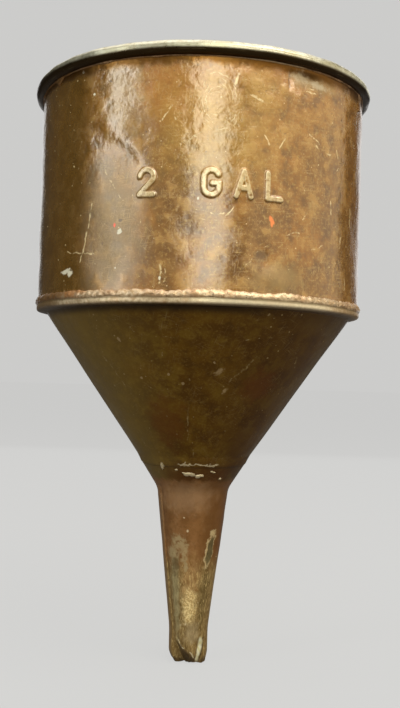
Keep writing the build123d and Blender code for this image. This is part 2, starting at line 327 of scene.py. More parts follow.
def drum_shape(azimuth, radius, height, side):
    """Dents, creases, the raised mark and the side seam of the drum.

    The hollow on the left ends at a slanting fold, and above is how far a point is above that fold.
    """
    arc = azimuth * DRUM_R
    push = 0.22 * ripple(azimuth, height, 11, 9, 60) + 0.13 * ripple(azimuth, height, 12, 26, 25)
    above = (0.562 * (arc + 66) + 0.827 * (height - 350)) + 4.0 * smooth(arc, -42, -26)
    push -= 1.2 * dent(arc, height, (-64, 316), (21, 27), 0) * smooth(above, 6.0, -5.0)
    facet = np.clip((arc + 90) / 30, 0, 1) * smooth(arc, -38, -52) * smooth(above, 5.0, -4.2)
    push -= 1.4 * facet * np.exp(-((np.minimum(above, 0) / 24) ** 2))
    push -= 0.9 * crease(arc, height, (50, 397), (50, 384), 1.6)
    push -= dents(arc, height, (
        (0.9, (-68, 276), (22, 16), 0), (0.7, (-44, 351), (10, 9), -35), (2.6, (66, 390), (17, 9), -18),
        (1.2, (33, 277), (6, 9), 10), (-0.6, (41, 264), (13, 6), -20), (0.8, (-8, 290), (20, 14), 0),
        (0.18, (11, 376), (3.5, 9), 8), (1.6, (128, 300), (22, 30), 15), (1.1, (-190, 345), (26, 14), -30),
        (0.9, (215, 372), (18, 10), 5),
    ))
    push *= smooth(height, DRUM_FOOT + 2, DRUM_FOOT + 14) * smooth(height, BEAD_FOOT, BEAD_FOOT - 6)
    push *= back_fade(azimuth)
    push += MARK_RELIEF * mark_relief(arc, height)
    fold = back_seam(azimuth, DRUM_R) * smooth(height, COLLAR_TOP + 5, COLLAR_TOP + 7)
    push += 0.8 * side * fold * smooth(height, BEAD_FOOT - 0.5, BEAD_FOOT - 2)
    rise = smooth(height, RIM_TOP - 70, RIM_TOP - 8)
    return radius + push, height + rise * droop(azimuth)


def drum_wall():
    """Rolled drum wall, dented, with the raised capacity mark."""
    azimuths = stations((-180, -45, 2.5), (-45, -25, 0.8), (-25, 25, 0.2), (25, 45, 0.8), (45, 180, 2.5))
    mark_low = MARK_LEVEL - MARK_HEIGHT / 2 - 1.5
    mark_high = MARK_LEVEL + MARK_HEIGHT / 2 + 1.5
    outside = stations((DRUM_FOOT, mark_low, 1.8), (mark_low, mark_high, 0.45), (mark_high, DRUM_TOP, 1.6))
    inside = stations((DRUM_FOOT, mark_low, 4.0), (mark_low, mark_high, 0.9), (mark_high, DRUM_TOP, 4.0))
    section = [(DRUM_R, z, 1) for z in outside] + [(DRUM_R, DRUM_TOP, 1)]
    section += [(DRUM_R - SHEET, DRUM_TOP, 0)] + [(DRUM_R - SHEET, z, 0) for z in inside[::-1]]
    piece = mesh_piece("drum_wall_sheet", *turned(section, azimuths, drum_shape), sharp=70)
    a, z = np.meshgrid(np.radians(azimuths), np.array(section)[:, 1], indexing="ij")
    proud = piece.data.attributes.new("proud", "FLOAT", "POINT")
    proud.data.foreach_set("value", mark_relief(a * DRUM_R, z).ravel())
    return piece


def round_section(centre, height, radius, count, high=math.inf):
    """Closed round section, cut flat above a height."""
    angles = np.linspace(-math.pi / 2, 1.5 * math.pi, count, endpoint=False)
    return [(centre + radius * math.cos(t), min(height + radius * math.sin(t), high), 1) for t in angles]


def rim_shape(azimuth, radius, height, side):
    """Sag and hand-worked unevenness of the rim."""
    radius = radius + 0.16 * ripple(azimuth, 0, 21, 40, 400)
    return radius, height + droop(azimuth) + 0.12 * ripple(azimuth, 0, 22, 34, 400)


def bead_shape(azimuth, radius, height, side):
    """Rim with the line of its rolled edge, small nicks and the joint of its ends at the back."""
    out, up = radius - BEAD_CENTRE, height - BEAD_HEIGHT
    angle = np.degrees(np.arctan2(up, out))
    line = np.exp(-(((angle - 4) / 5) ** 2))
    nick = np.maximum(0, ripple(azimuth, up * 6, 31, 90, 30) - 1.25)
    joint = smooth((math.pi - np.abs(azimuth)) * DRUM_R, 1.2, 0.0)
    shrink = 1 - (0.34 * line + 0.5 * nick + 0.5 * joint) / BEAD_R
    radius, height = BEAD_CENTRE + out * shrink, BEAD_HEIGHT + up * shrink
    return rim_shape(azimuth, radius, np.minimum(height, RIM_TOP), side)


def rim_bead():
    """Brass tube rolled over the wire, flattened on top by wear."""
    azimuths = stations((-180, 180, 1.0))
    tube = round_section(BEAD_CENTRE, BEAD_HEIGHT, BEAD_R, 44, high=RIM_TOP)
    return mesh_piece("rim_bead_tube", *turned(tube, azimuths, bead_shape), sharp=50)


def rim_wire():
    """Steel wire inside the rim, following its sag."""
    section = round_section(BEAD_CENTRE, BEAD_HEIGHT, WIRE_R - 0.3, 14)
    return mesh_piece("rim_wire_core", *turned(section, stations((-180, 180, 2.5)), rim_shape))


def rim_solder_shape(azimuth, radius, height, side):
    """Solder of uneven depth, with a long smear on the right."""
    arc = azimuth * DRUM_R
    smear = dent(arc, 0 * arc, (131, 0), (2.6, 1)) + 0.35 * dent(arc, 0 * arc, (-118, 0), (4, 1))
    depth = 0.6 + 0.45 * ripple(azimuth, 0, 41, 60, 400)
    low = height < BEAD_FOOT
    height = np.where(low, height - np.maximum(depth - 0.6, 0) - 11 * smear, height)
    radius = np.where(low & (side > 0), radius + 0.25 * depth + 0.2 * smear, radius)
    return radius, height + droop(azimuth)


def rim_solder():
    """Solder run in under the bead."""
    top = BEAD_FOOT + 0.6
    low = BEAD_FOOT - 0.5
    inner = DRUM_R - 0.45
    section = [(inner, low, 0), (DRUM_R + 0.15, low, 1), (DRUM_R + 0.5, BEAD_FOOT - 0.1, 1)]
    section += [(BEAD_CENTRE, top, 1), (inner, top, 0)]
    return mesh_piece("rim_solder_run", *turned(section, stations((-180, 180, 0.75)), rim_solder_shape))


# ---------------------------------------------------------------- cone and its joints

def cone_shape(azimuth, radius, height, side):
    """Shallow dents of the cone, its lapped seam and the wavy flange."""
    arc = azimuth * radius
    push = 0.30 * ripple(azimuth, height, 51, 7, 70) + 0.12 * ripple(azimuth, height, 52, 24, 30)
    push -= dents(arc, height, (
        (1.2, (-34, 214), (15, 20), 30), (0.9, (40, 190), (12, 16), -30), (1.4, (150, 205), (20, 15), 0),
    ))
    push *= smooth(height, FLARE_TOP + 5, FLARE_TOP + 20) * smooth(height, SHOULDER - 5, SHOULDER - 16)
    push *= back_fade(azimuth)
    lap = back_seam(azimuth, radius) * smooth(height, FLARE_TOP + 4, FLARE_TOP + 8)
    push += 0.6 * side * lap * smooth(height, SHOULDER - 4, SHOULDER - 8)
    flange = smooth(height, SHOULDER - 4, SHOULDER)
    push += 0.12 * flange * side * ripple(azimuth, height, 53, 24, 12)
    return radius + push, height + 0.25 * flange * ripple(azimuth, 0, 54, 16, 400)


def cone_path(step):
    """Cone's outer face: up the slope, out along the flange and up the collar."""
    corners = [(cone_radius(CONE_FOOT), CONE_FOOT), (CONE_TOP_R, SHOULDER - FLANGE_DROP)]
    corners += [(COLLAR_R, SHOULDER), (COLLAR_R, COLLAR_TOP)]
    return filled(rounded(corners, [1.2, 1.4], 5), step)


def cone_sheet():
    """Cone with its flange and turned-up collar."""
    azimuths = stations((-180, -70, 2.0), (-70, 70, 1.0), (70, 180, 2.0))
    section = sheet_section(cone_path(2.6))
    return mesh_piece("cone_sheet", *turned(section, azimuths, cone_shape), sharp=50)


def shoulder_shape(azimuth, radius, height, side):
    """Lumpy crown and wavy edges of the solder over the collar."""
    share = np.clip((height - SOLDER_FOOT) / SOLDER_RISE, 0, 1)
    crown = np.sin(math.pi * share)
    lumps = 0.20 * ripple(azimuth, height, 61, 60, 14) + 0.26 * ripple(azimuth, height, 62, 190, 4)
    radius = radius + side * crown * (0.25 + np.clip(lumps, -0.3, 0.6))
    wave = 0.5 * ripple(azimuth, 0, 63, 24, 400) + 0.55 * ripple(azimuth, 0, 64, 150, 400)
    edge = 0.35 * ripple(azimuth, 0, 65, 70, 400)
    return radius, height + share * wave + (1 - share) * side * edge


def shoulder_solder():
    """Rough band of solder over the collar's top edge."""
    section = [(DRUM_R - 0.4, SOLDER_FOOT, 0), (COLLAR_R + 0.10, SOLDER_FOOT, 1)]
    for share in np.linspace(0.08, 1, 11):
        line = COLLAR_R + 0.1 + (DRUM_R - COLLAR_R) * share
        section.append((line + 0.62 * math.sin(math.pi * share) ** 0.7, SOLDER_FOOT + SOLDER_RISE * share, 1))
    section.append((DRUM_R - 0.4, SOLDER_FOOT + SOLDER_RISE, 0))
    azimuths = stations((-180, -60, 0.75), (-60, 60, 0.35), (60, 180, 0.75))
    return mesh_piece("shoulder_solder_band", *turned(section, azimuths, shoulder_shape), sharp=60)


def neck_shape(azimuth, radius, height, side):
    """Solder that fades into the cone, with a jagged upper edge that is heavier at the front."""
    front = np.exp(-((np.degrees(azimuth) - 2) / 24) ** 4)
    share = np.clip((height - FLARE_TOP) / NECK_SOLDER_RISE, 0, 1)
    jag = 0.9 * ripple(azimuth, 0, 71, 60, 400) + 0.6 * ripple(azimuth, 0, 72, 120, 400)
    bulge = 0.22 * front * (0.7 + 0.5 * ripple(azimuth, height, 73, 70, 6))
    height = height + side * share * jag * (0.3 + 0.7 * front)
    outset = (SHEET + 0.10) * (1 - share) ** 1.3 + np.sin(math.pi * share) * bulge - 0.04
    on_cone = cone_radius(height, outset)
    on_flare = np.interp(height, SPOUT_PROFILE[:, 1], SPOUT_PROFILE[:, 0]) + 0.06
    outer = np.where(height < FLARE_TOP - 0.2, on_flare, on_cone)
    return np.where(side > 0.5, outer, radius), height


def lump(azimuth, height, size, seed):
    """Closed drop of solder on the spout's flare, as points and faces; size is across and up."""
    random = np.random.default_rng(seed)
    a = math.radians(azimuth)
    radius = spout_radius(height)
    slope = (spout_radius(height + 1) - spout_radius(height - 1)) / 2
    out = np.array([math.sin(a), -math.cos(a), -slope]) / math.hypot(1, slope)
    across = np.array([math.cos(a), math.sin(a), 0])
    up = np.cross(out, across)
    middle = np.array([radius * math.sin(a), -radius * math.cos(a), height])
    points, count = [], 12
    wobble = 1 + 0.22 * random.normal(size=count)
    levels = ((0.0, 1.0), (0.35, 0.94), (0.7, 0.72), (0.93, 0.38))
    for lift, spread in ((-0.5, 0.9),) + levels:
        for k in range(count):
            t = 2 * math.pi * k / count
            side = across * math.cos(t) * size[0] / 2 + up * math.sin(t) * size[1] / 2
            points.append(middle + side * spread * wobble[k] + out * lift * size[2])
    rings = len(levels) + 1
    faces = grid_faces(rings, count)[:, FACING_BACK].tolist()
    points += [middle - out * 0.5 * size[2], middle + out * size[2]]
    last = (rings - 1) * count
    for k in range(count):
        n = (k + 1) % count
        faces.append([n, k, rings * count])
        faces.append([last + k, last + n, rings * count + 1])
    return np.array(points), faces


def neck_solder():
    """Jagged solder over the top edge of the spout's flare, with drops below it."""
    low, high = NECK_SOLDER_FOOT, FLARE_TOP + NECK_SOLDER_RISE
    section = [(cone_radius(low, SHEET * 0.4), low, 0), (0, low, 1)]
    section += [(0, z, 1) for z in np.linspace(FLARE_TOP - 0.4, high, 10)]
    section.append((cone_radius(high, -0.4), high, 0))
    azimuths = stations((-180, -40, 1.5), (-40, 40, 0.8), (40, 180, 1.5))
    parts = [turned(section, azimuths, neck_shape)]
    drops = (
        (-9.5, 135.8, (6.0, 3.6, 0.7)), (-4.5, 135.4, (4.0, 3.0, 0.5)), (3.0, 134.4, (5.4, 3.2, 0.8)),
        (7.5, 134.8, (3.2, 2.2, 0.5)), (18.6, 137.8, (2.0, 1.6, 0.5)), (21.5, 137.2, (2.4, 1.5, 0.4)),
        (33.9, 132.2, (2.2, 1.8, 0.5)), (-39.4, 140.3, (2.2, 5.6, 0.8)), (-22.0, 138.5, (2.2, 1.6, 0.4)),
        (118.0, 136.0, (5.0, 3.4, 0.7)), (-150.0, 135.0, (6.0, 3.0, 0.6)), (165.0, 132.0, (2.6, 2.4, 0.5)),
    )
    parts += [lump(a, z, size, 80 + i) for i, (a, z, size) in enumerate(drops)]
    return mesh_piece("neck_solder_run", *joined(parts), sharp=60)


# ---------------------------------------------------------------- spout

def spout_path(step):
    """Spout's outer face: parallel nose, long taper, then the flare over the cone."""
    corners = [(NOSE_R, 0), (NOSE_R, NOSE_CORNER), (SPOUT_TOP_R, NECK_HEIGHT - 2), (FLARE_R, FLARE_TOP)]
    return filled(rounded(corners, [60, 18], 12), step)


SPOUT_PROFILE = spout_path(1.0)


def spout_radius(height):
    """Radius of the spout's outer face at a height."""
    return float(np.interp(height, SPOUT_PROFILE[:, 1], SPOUT_PROFILE[:, 0]))


def spout_shape(azimuth, radius, height, side):
    """Lapped seam on the left, hammered unevenness, and the battered nose."""
    turn = np.degrees(azimuth)
    push = 0.16 * ripple(azimuth, height, 91, 5, 50) + 0.07 * ripple(azimuth, height, 92, 16, 14)
    push -= 0.5 * dent(turn, height, (38, 88), (16, 12)) + 0.35 * dent(turn, height, (-25, 66), (22, 10))
    push *= smooth(height, NECK_HEIGHT + 8, NECK_HEIGHT - 6)
    edge = math.degrees(SPOUT_LAP) / radius
    from_seam = turn - SPOUT_SEAM
    lap = smooth(np.abs(from_seam), edge + 1.2, edge - 0.6)
    groove = np.exp(-(((from_seam - edge - 2.0) / 1.6) ** 2))
    seam = smooth(height, 1.0, 3.0) * smooth(height, NECK_HEIGHT + 2, NECK_HEIGHT - 8)
    push += side * seam * (0.65 * lap - 0.25 * groove)
    end = smooth(height, 9.0, -3.0)
    push -= (2.6 + 1.2 * np.cos(azimuth + 1.2)) * end
    folded = smooth(turn, -62, -40) * smooth(turn, 28, 8)
    line = 13.8 - 0.24 * (turn + 22)
    push -= 5.2 * folded * smooth(line - height, 0.0, 13.0)
    push -= 0.7 * folded * np.exp(-np.abs(line - height) / 1.3)
    facet = np.exp(-(((turn - 33) / 11) ** 2))
    push -= 1.5 * facet * smooth(height, 20, 12)
    cut = 0.9 * np.exp(-(((turn - 22) / 14) ** 2)) + 0.7 * np.exp(-(((turn + 34) / 10) ** 2))
    lift = cut + 0.25 * ripple(azimuth, 0, 93, 20, 400)
    return radius + push, height + np.maximum(lift, 0) * smooth(height, 7.0, 0.0)


def spout_tube():
    """Tapered spout with its seam and battered nose."""
    azimuths = stations((-180, -90, 4.0), (-90, 60, 1.0), (60, 180, 4.0))
    section = sheet_section(spout_path(1.1))
    return mesh_piece("spout_tube", *turned(section, azimuths, spout_shape), sharp=60)


# ---------------------------------------------------------------- strainer

def tube_along(points, radius, sides):
    """Points and faces of a closed thin tube along a run of points that are nearly level."""
    points = np.asarray(points, float)
    run = np.gradient(points, axis=0)
    run /= np.linalg.norm(run, axis=1)[:, None]
    across = np.cross(run, (0, 0, 1.0))
    across /= np.linalg.norm(across, axis=1)[:, None]
    up = np.cross(across, run)
    t = 2 * math.pi * np.arange(sides) / sides
    ring = across[:, None, :] * np.cos(t)[None, :, None] + up[:, None, :] * np.sin(t)[None, :, None]
    skin = (points[:, None, :] + radius * ring).reshape(-1, 3)
    faces = grid_faces(len(points), sides)[:, FACING_BACK].tolist()
    faces += [list(range(sides))[::-1], list(range(len(skin) - sides, len(skin)))]
    return skin, faces


def woven_gauze():
    """Plain-woven wire gauze between the strainer's rings."""
    pitch, wire = 2.4, 0.22
    reach = GAUZE_HIGH[0] - 0.2
    level = (GAUZE_LOW[2] + GAUZE_HIGH[2]) / 2
    lift = (GAUZE_HIGH[2] - GAUZE_LOW[2]) / 2 - wire
    count = int(reach / pitch)
    parts = []
    for n in range(-count, count + 1):
        offset = n * pitch
        half = math.sqrt(reach**2 - offset**2)
        if half < 2 * pitch:
            continue
        along = np.linspace(-half, half, max(8, int(4 * half / pitch)))
        wave = lift * np.cos(math.pi * (along / pitch + n))
        level_x = np.column_stack([along, np.full_like(along, offset), level + wave])
        level_y = np.column_stack([np.full_like(along, offset), along, level - wave])
        parts += [tube_along(level_x, wire, 5), tube_along(level_y, wire, 5)]
    return mesh_piece("strainer_gauze_weave", *joined(parts), sharp=80)


def domed_rivets():
    """Rivets with hammered domed heads, through both rings."""
    head, shank, rise = 2.6, 1.5, 1.1
    dome = [(head * math.cos(t), CLAMP_TOP + rise * math.sin(t), 1) for t in np.linspace(0.02, 1.5, 8)]
    brim = CLAMP_TOP - 0.1
    section = [(0.05, RIVET_FOOT, 1), (shank, RIVET_FOOT, 1), (shank, brim, 1), (head - 0.2, brim, 1)]
    section += dome + [(0.05, CLAMP_TOP + rise, 1)]
    points, faces = turned(section, stations((0, 360, 20)))
    centre = (RING_OUTER + RING_BORE) / 2
    parts = []
    for k in range(RIVET_COUNT):
        a = math.radians((k + 0.5) * 360 / RIVET_COUNT)
        parts.append((points + np.array([centre * math.cos(a), centre * math.sin(a), 0]), faces.tolist()))
    return mesh_piece("strainer_rivets_domed", *joined(parts), sharp=50)


# ---------------------------------------------------------------- materials

class Value:
    """Number that a material's nodes work out. +, - and * add math nodes to it."""

    def __init__(self, finish, socket):
        self.finish = finish
        self.socket = socket

    def __add__(self, other):
        return self.finish.math("ADD", self, other)

    def __sub__(self, other):
        return self.finish.math("SUBTRACT", self, other)

    def __rsub__(self, other):
        return self.finish.math("SUBTRACT", other, self)

    def __mul__(self, other):
        return self.finish.math("MULTIPLY", self, other)


class Finish:
    """One procedural material. Its methods add nodes, and paint() covers the colour it has so far.

    Sizes are in millimetres. Places are on the unrolled sheet, as (arc, height).
    """

    def __init__(self, name, wrap_radius):
        self.material = bpy.data.materials.new(name)
        self.material.use_nodes = True
        self.nodes = self.material.node_tree.nodes
        self.links = self.material.node_tree.links
        self.surface = self.nodes["Principled BSDF"]
        self.place = self.vector("SCALE", self.add("TexCoord").outputs["Object"], scale=1 / MM)
        x, y, self.height = (Value(self, s) for s in self.add("SeparateXYZ", self.place).outputs)
        self.azimuth = self.math("ARCTAN2", x, y * -1)
        self.arc = self.azimuth * wrap_radius
        self.exact = self.add("CombineXYZ", self.arc, self.height, 0).outputs[0]
        drift = self.add("TexNoise", Vector=self.place, Scale=0.12, Detail=2).outputs["Color"]
        drift = self.vector("SCALE", self.vector("SUBTRACT", drift, (0.5, 0.5, 0.5)), scale=5)
        self.sheet = self.vector("ADD", self.exact, drift)
        self.ahead = self.step(self.math("ABSOLUTE", self.azimuth), 2.75, 1.75)

    def feed(self, socket, value):
        if isinstance(value, Value):
            value = value.socket
        if isinstance(value, bpy.types.NodeSocket):
            self.links.new(value, socket)
        elif value is not None:
            socket.default_value = value

    def add(self, kind, *values, settings=None, **named):
        made = self.nodes.new("ShaderNode" + kind)
        for key, value in (settings or {}).items():
            setattr(made, key, value)
        for socket, value in zip(made.inputs, values):
            self.feed(socket, value)
        for key, value in named.items():
            self.feed(made.inputs[key], value)
        return made

    def math(self, operation, a, b=None, clamp=False):
        settings = {"operation": operation, "use_clamp": clamp}
        return Value(self, self.add("Math", a, b, settings=settings).outputs[0])

    def vector(self, operation, a, b=None, scale=None):
        made = self.add("VectorMath", a, b, settings={"operation": operation})
        if scale is not None:
            self.feed(made.inputs["Scale"], scale)
        result = "Value" if operation in ("LENGTH", "DISTANCE", "DOT_PRODUCT") else "Vector"
        return Value(self, made.outputs[result])

    def rotated(self, where, turn):
        return self.add("VectorRotate", Vector=where, Angle=math.radians(turn)).outputs[0]

    def step(self, value, low, high):
        """Smooth step from 0, where the value is low, to 1, where it is high."""
        settings = {"interpolation_type": "SMOOTHSTEP"}
        return Value(self, self.add("MapRange", value, low, high, 0, 1, settings=settings).outputs[0])

    def spread(self, share, low, high):
        """Value that goes from low to high with a share."""
        return Value(self, self.add("MapRange", share, 0, 1, low, high).outputs[0])

    def varied(self, noise, low, high):
        """Value that goes from low to high over most of a noise's range."""
        return self.spread(self.step(noise, 0.3, 0.7), low, high)

    def noise(self, size, detail=3, roughness=0.55, stretch=None, turn=0):
        """Noise with features of a size, drawn out by stretch along the sheet."""
        where = self.place
        if stretch:
            where = self.vector("MULTIPLY", self.rotated(self.sheet, turn), (1 / stretch, 1, 1))
        made = self.add("TexNoise", Vector=where, Scale=1 / size, Detail=detail, Roughness=roughness)
        return Value(self, made.outputs["Fac"])

    def mix(self, share, a, b):
        """Colour that goes from a to b with a share."""
        made = self.add("Mix", settings={"data_type": "RGBA", "blend_type": "MIX", "clamp_factor": True})
        for index, value in ((0, share), (6, a), (7, b)):
            self.feed(made.inputs[index], (*value, 1) if isinstance(value, tuple) else value)
        return made.outputs[2]

    def paint(self, share, colour, amount=1):
        """Cover a share of the surface with a colour, by an amount."""
        self.colour = self.mix(share if amount == 1 else share * amount, self.colour, colour)

    def either(self, *shares):
        total = shares[0]
        for share in shares[1:]:
            total = self.math("MAXIMUM", total, share)
        return total

    def patch(self, centre, size, turn=0, ragged=0.5, grain=4, soft=0.25):
        """Ragged elliptical patch."""
        where = self.rotated(self.vector("SUBTRACT", self.sheet, (*centre, 0)), -turn)
        where = self.vector("MULTIPLY", where, (1 / size[0], 1 / size[1], 0))
        edge = (self.noise(grain, 4) - 0.5) * (4 * ragged)
        return self.step(self.vector("LENGTH", where) + edge, 1 + soft, 1 - soft)

    def scratch(self, start, end, width):
        """Scratch between two places."""
        run = Vector((end[0] - start[0], end[1] - start[1], 0))
        from_start = self.vector("SUBTRACT", self.sheet, (*start, 0))
        share = self.vector("DOT_PRODUCT", from_start, tuple(run / run.length_squared))
        share = self.math("MULTIPLY", share, 1, clamp=True)
        along = self.vector("SCALE", tuple(run), scale=share)
        return self.step(self.vector("DISTANCE", from_start, along), width, width * 0.25)

    def covered(self, make, places):
        """Share covered by any of several marks. Each joins the total before the next is made, because
        the renderer has room for only so many values at a time."""
        total = 0
        for place in places:
            total = self.math("MAXIMUM", make(*place), total)
        return total

    def scratches(self, strokes):
        return self.covered(self.scratch, strokes)

    def patches(self, *shapes):
        return self.covered(self.patch, shapes)

    def flecks(self, spacing, size, share):
        """Scattered round flecks: a share of the cells of a spacing has one."""
        made = self.add("TexVoronoi", Vector=self.place, Scale=1 / spacing, Randomness=1)
        red = self.add("SeparateColor", made.outputs["Color"]).outputs[0]
        chosen = self.step(red, 1 - share, 1 - share + 0.01)
        return chosen * self.step(made.outputs["Distance"], size / spacing, 0.5 * size / spacing)

    def hatching(self, turn, length, width, amount, seed):
        """Fine random scratches that run at an angle; amount from 0 to 1."""
        where = self.rotated(self.vector("ADD", self.exact, (seed * 37, seed * 91, 0)), -turn)
        where = self.vector("MULTIPLY", where, (1 / length, 1 / width, 1))
        fine = self.add("TexNoise", Vector=where, Scale=1, Detail=1, Roughness=0.4).outputs["Fac"]
        return self.step(fine, 0.72 - 0.12 * amount, 0.80 - 0.12 * amount)

    def finish(self, roughness, metallic, bump, bump_depth, **constants):
        """Connect the surface. Bump is a height from 0 to 1 of the depth."""
        self.feed(self.surface.inputs["Base Color"], self.colour)
        self.feed(self.surface.inputs["Roughness"], roughness)
        self.feed(self.surface.inputs["Metallic"], metallic)
        for key, value in constants.items():
            self.feed(self.surface.inputs[key.replace("_", " ")], value)
        relief = self.add("Bump", Height=bump, Strength=1, Distance=bump_depth * MM)
        self.feed(self.surface.inputs["Normal"], relief.outputs[0])
        if "Coat_Weight" in constants:
            self.feed(self.surface.inputs["Coat Normal"], relief.outputs[0])
        return self.material


def drum_copper():
    """Brown copper patina of the drum, with scratches, paint specks and a warmer patch, painted shade towards
    its sides, under the rim and along a kink, a painted sheen in patches of dull film, and painted highlights
    on the mark's tops and below the rim's dent.
    """
    f = Finish("aged_copper_drum", DRUM_R)
    broad = f.noise(30, 4)
    cloud = f.noise(9, 3, 0.5)
    grain = f.noise(1.8, 4, 0.6)
    streak = f.noise(1.1, 3, 0.6, stretch=14)
    high = f.step(f.height + broad * 60, 320, 395)
    f.colour = f.mix(high, (0.236, 0.094, 0.006), (0.33, 0.134, 0.009))
    f.paint(f.step(broad, 0.46, 0.64), (0.4, 0.15, 0.008), 0.6)
    f.paint(f.step(broad, 0.47, 0.34), (0.19, 0.074, 0.004), 0.45)
    f.paint(f.step(cloud, 0.47, 0.74), (0.5, 0.252, 0.05), 0.8)
    f.paint(f.step(cloud, 0.51, 0.3), (0.15, 0.056, 0.004), 0.8)
    f.paint(f.step(grain, 0.5, 0.72), (0.58, 0.36, 0.1), 0.55)
    f.paint(f.step(streak, 0.5, 0.28), (0.16, 0.07, 0.006), 0.3)
    warm = f.patches(((-27, 378), (24, 22), 20, 0.5, 9, 0.6), ((34, 392), (40, 7), 0, 0.5, 6, 0.6))
    f.paint(warm, (0.47, 0.17, 0.014), 0.5)
    gold = f.patches(((2, 352), (40, 30), -10, 0.6, 10, 0.7), ((30, 378), (14, 16), 10, 0.6, 8, 0.7))
    f.paint(gold, (0.55, 0.32, 0.045), 0.34)
    # Greyish patches: partly a dull film, partly a painted sheen of the flattened facet below the crease and
    # of the dent under the rim.
    dull_film_and_sheen = f.patches(
        ((-64, 296), (22, 48), -4, 0.5, 9, 0.6), ((-58, 374), (13, 28), 4, 0.5, 7, 0.6),
        ((44, 264), (16, 9), 0, 0.5, 6, 0.6), ((68, 391), (17, 6), -6, 0.5, 5, 0.5),
    )
    f.paint(dull_film_and_sheen, (0.31, 0.2, 0.066), 0.6)
    # Painted shade: darker towards the left and right sides of the drum as seen from the front, with a
    # painted shade patch on the right.
    left = f.step(f.arc + cloud * 14, -58, -90) * f.ahead
    right = f.step(f.arc + cloud * 30, 108, 150) * f.ahead
    f.paint(left, (0.115, 0.053, 0.002), 0.86)
    shade = f.patch((120, 350), (17, 38), 0, 0.5, 9, 0.8)
    f.paint(f.either(right * 0.65, shade * 0.55), (0.17, 0.066, 0.004))

    rings = f.vector("SUBTRACT", f.sheet, (2, 370, 0))
    rings = f.vector("LENGTH", f.vector("MULTIPLY", rings, (1, 0.72, 0)))
    circles = f.math("SINE", rings * 3.1)
    swirl = f.step(circles, 0.45, 0.95) * f.step(rings, 16, 13) * f.step(rings, 3, 6)
    swirl = swirl * f.step(f.noise(7, 4), 0.46, 0.58)
    lines = f.scratches([
        ((-79, 309), (-81, 301), 0.9), ((-81, 301), (-88, 273), 0.8), ((-108, 281), (-78, 277), 0.7),
        ((33, 351), (40, 340), 0.8), ((40, 340), (47, 351), 0.7), ((66, 357), (76, 352), 0.8),
        ((72, 350), (86, 348), 0.7), ((24, 376), (30, 373), 1.3), ((13, 381), (16, 387), 1),
        ((-30, 270), (-30, 258), 1), ((-27, 267), (-27, 259), 0.7), ((64, 384), (78, 383), 0.7),
        ((62, 387), (74, 386), 0.6), ((-104, 338), (-92, 333), 0.6), ((-9, 303), (8, 301), 0.5),
        ((-6, 298), (9, 297), 0.5), ((-70, 330), (-58, 312), 0.5), ((20, 268), (36, 284), 0.5),
        ((-32, 357), (-26, 366), 0.8), ((-26, 366), (-22, 358), 0.6), ((-18, 344), (-8, 350), 0.8),
        ((93, 352), (97, 342), 0.7), ((97, 342), (92, 336), 0.6), ((118, 318), (119, 306), 0.9),
        ((88, 318), (89, 309), 0.8), ((62, 303), (66, 307), 0.6), ((50, 292), (60, 294), 0.6),
        ((70, 284), (80, 288), 0.7), ((108, 262), (109, 270), 0.8), ((100, 289), (102, 296), 0.8),
        ((10, 300), (14, 306), 0.6), ((150, 340), (178, 310), 0.9), ((-160, 300), (-140, 330), 0.8),
        ((190, 280), (215, 276), 0.9), ((-230, 360), (-205, 352), 0.8), ((-290, 300), (-262, 318), 0.8),
        ((240, 350), (262, 322), 0.8), ((310, 288), (322, 318), 0.7),
    ]) * f.step(f.noise(1.6, 3), 0.34, 0.5)
    hatch = f.either(
        f.hatching(84, 8, 0.6, 0.8, 1), f.hatching(-42, 6, 0.5, 0.7, 2), f.hatching(5, 14, 0.5, 0.85, 3),
        f.hatching(55, 6, 0.5, 0.7, 4),
    ) * f.step(f.noise(14, 3), 0.4, 0.58) * f.spread(left, 0.5, 0.12)
    specks = f.either(f.flecks(5, 0.62, 0.16), f.flecks(2.8, 0.42, 0.1))
    f.paint(hatch, (0.6, 0.38, 0.14))
    worn = f.either(specks, lines, swirl * 0.65)
    f.paint(worn, (0.82, 0.62, 0.32), 0.85)
    # Tops of the raised mark: partly worn bright, partly a painted highlight.
    f.paint(mark_top_wear_and_highlight(f), (0.78, 0.6, 0.32), 0.75)
    foot = f.step(f.height, DRUM_FOOT + 9, DRUM_FOOT + 5) * f.step(f.noise(3, 4), 0.4, 0.6)
    f.paint(foot, (0.5, 0.24, 0.07), 0.6)

    pale = f.patches(
        ((-103, 267.5), (4.6, 1.7), 4, 0.5, 2), ((-99, 266), (2.6, 1.5), 0, 0.4, 2),
        ((-90.5, 395), (1.1, 1.1)), ((-79.6, 378.3), (0.9, 0.8)), ((-7.2, 309.7), (0.8, 0.7)),
        ((-30.3, 260.9), (0.9, 1.1)), ((-60.5, 268.3), (0.6, 0.6)), ((-57.7, 290.8), (1.6, 1)),
    )
    f.paint(pale, (0.82, 0.74, 0.56), 0.9)
    f.paint(f.patch((39.1, 298.6), (1.2, 3), 8, 0.25, 2.5), (0.92, 0.24, 0.045))
    f.paint(f.patch((-61.4, 294.7), (1.2, 1)), (0.9, 0.12, 0.03))
    # Dark flecks and spots, and a painted shade line along the crease of the kink under the rim.
    dark = f.either(
        f.flecks(8, 0.7, 0.12), f.patch((-57.6, 297.2), (1.1, 1.3)), f.patch((-66.8, 384), (1, 1)),
        f.patch((33, 277.5), (4, 3), 0, 0.5, 4, 0.6),
        f.step(f.noise(2.4, 5, 0.65), 0.6, 0.7) * 0.7, f.scratch((50, 396), (50, 384), 1),
    )
    f.paint(dark, (0.085, 0.036, 0.004), 0.65)
